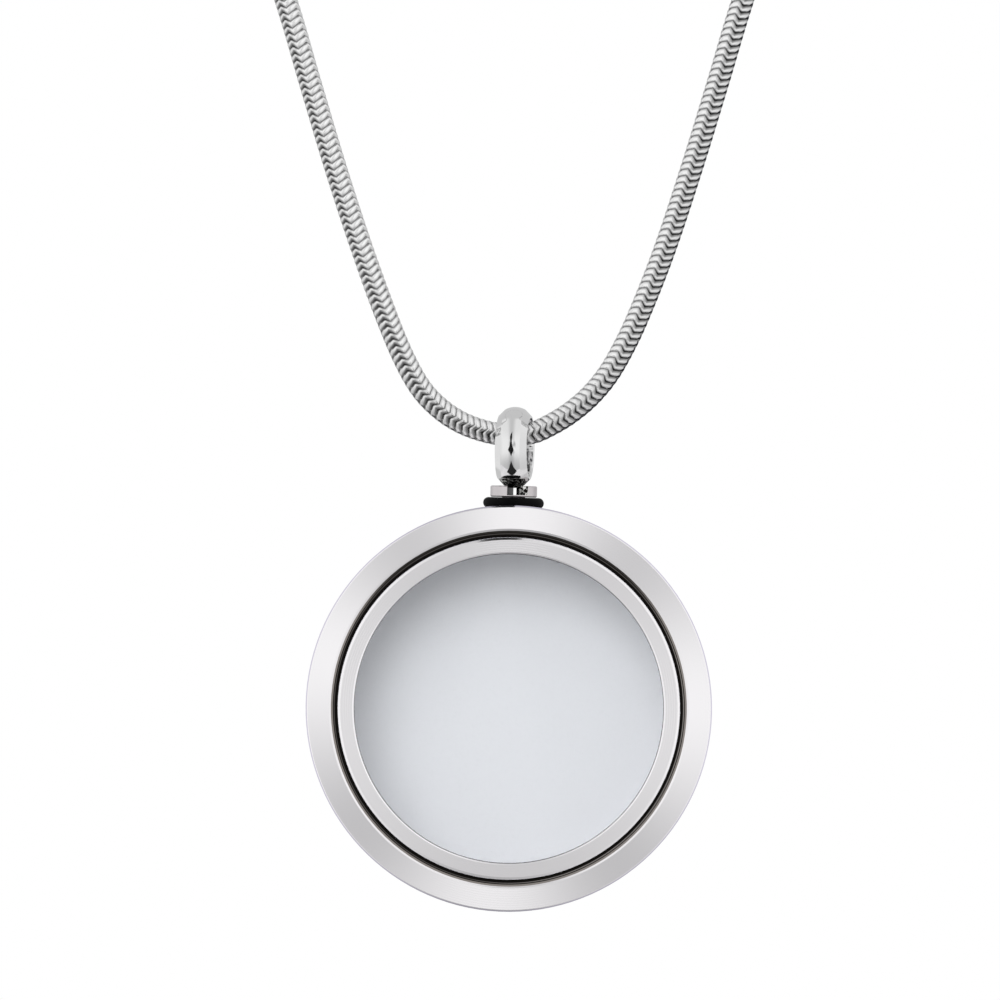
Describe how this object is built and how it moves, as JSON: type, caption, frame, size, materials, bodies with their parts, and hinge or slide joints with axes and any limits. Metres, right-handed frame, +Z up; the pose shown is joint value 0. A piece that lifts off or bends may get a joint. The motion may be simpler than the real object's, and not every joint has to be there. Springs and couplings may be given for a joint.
{
  "type": "keepsake urn pendant necklace",
  "caption": "Round keepsake urn locket with a glass window and a screw plug under its bail, hanging on a snake chain necklace.",
  "frame": {"origin": "centre of the neck that the chain goes round, a little below the nape", "axes": "+Z up, the pendant hangs in front at -Y, +X to the right in the front view"},
  "size_m": [0.119, 0.1352, 0.1678],
  "materials": {
    "case_steel": "polished, turned in fine rings on the rim",
    "plate_steel": "satin inside, polished outside",
    "window_glass": "clear, polished",
    "bezel_steel": "polished, turned in fine rings",
    "seal_rubber": "satin black",
    "bail_steel": "mirror polished",
    "chain_steel": "polished links",
    "clasp_steel": "polished"
  },
  "bodies": {
    "necklace": {"chain": "chain_steel", "end_cap_left": "clasp_steel", "end_cap_right": "clasp_steel", "clasp": "clasp_steel"},
    "bail": {"bail_plug": "bail_steel"},
    "seal": {"sealing_ring": "seal_rubber"},
    "case": {"case_ring": "case_steel", "back_plate": "plate_steel", "glass": "window_glass", "bezel": "bezel_steel"}
  },
  "joints": [
    {"name": "bail_swing", "type": "hinge", "parent": "necklace", "child": "bail", "pos_m": [0, -0.07, -0.12], "axis": [1, 0, 0], "range_deg": [-135, 135]},
    {"name": "plug_turn", "type": "hinge", "parent": "bail", "child": "seal", "pos_m": [0, -0.07, -0.12], "axis": [-0.0227, 0, -0.9997], "range_deg": [0, 2160]},
    {"name": "case_drop", "type": "slide", "parent": "seal", "child": "case", "axis": [-0.0227, 0, -0.9997], "range_m": [0, 0.003]}
  ],
  "couplings": [
    {"joint": "plug_turn", "follows": "case_drop", "rad_per_m": 12566}
  ]
}
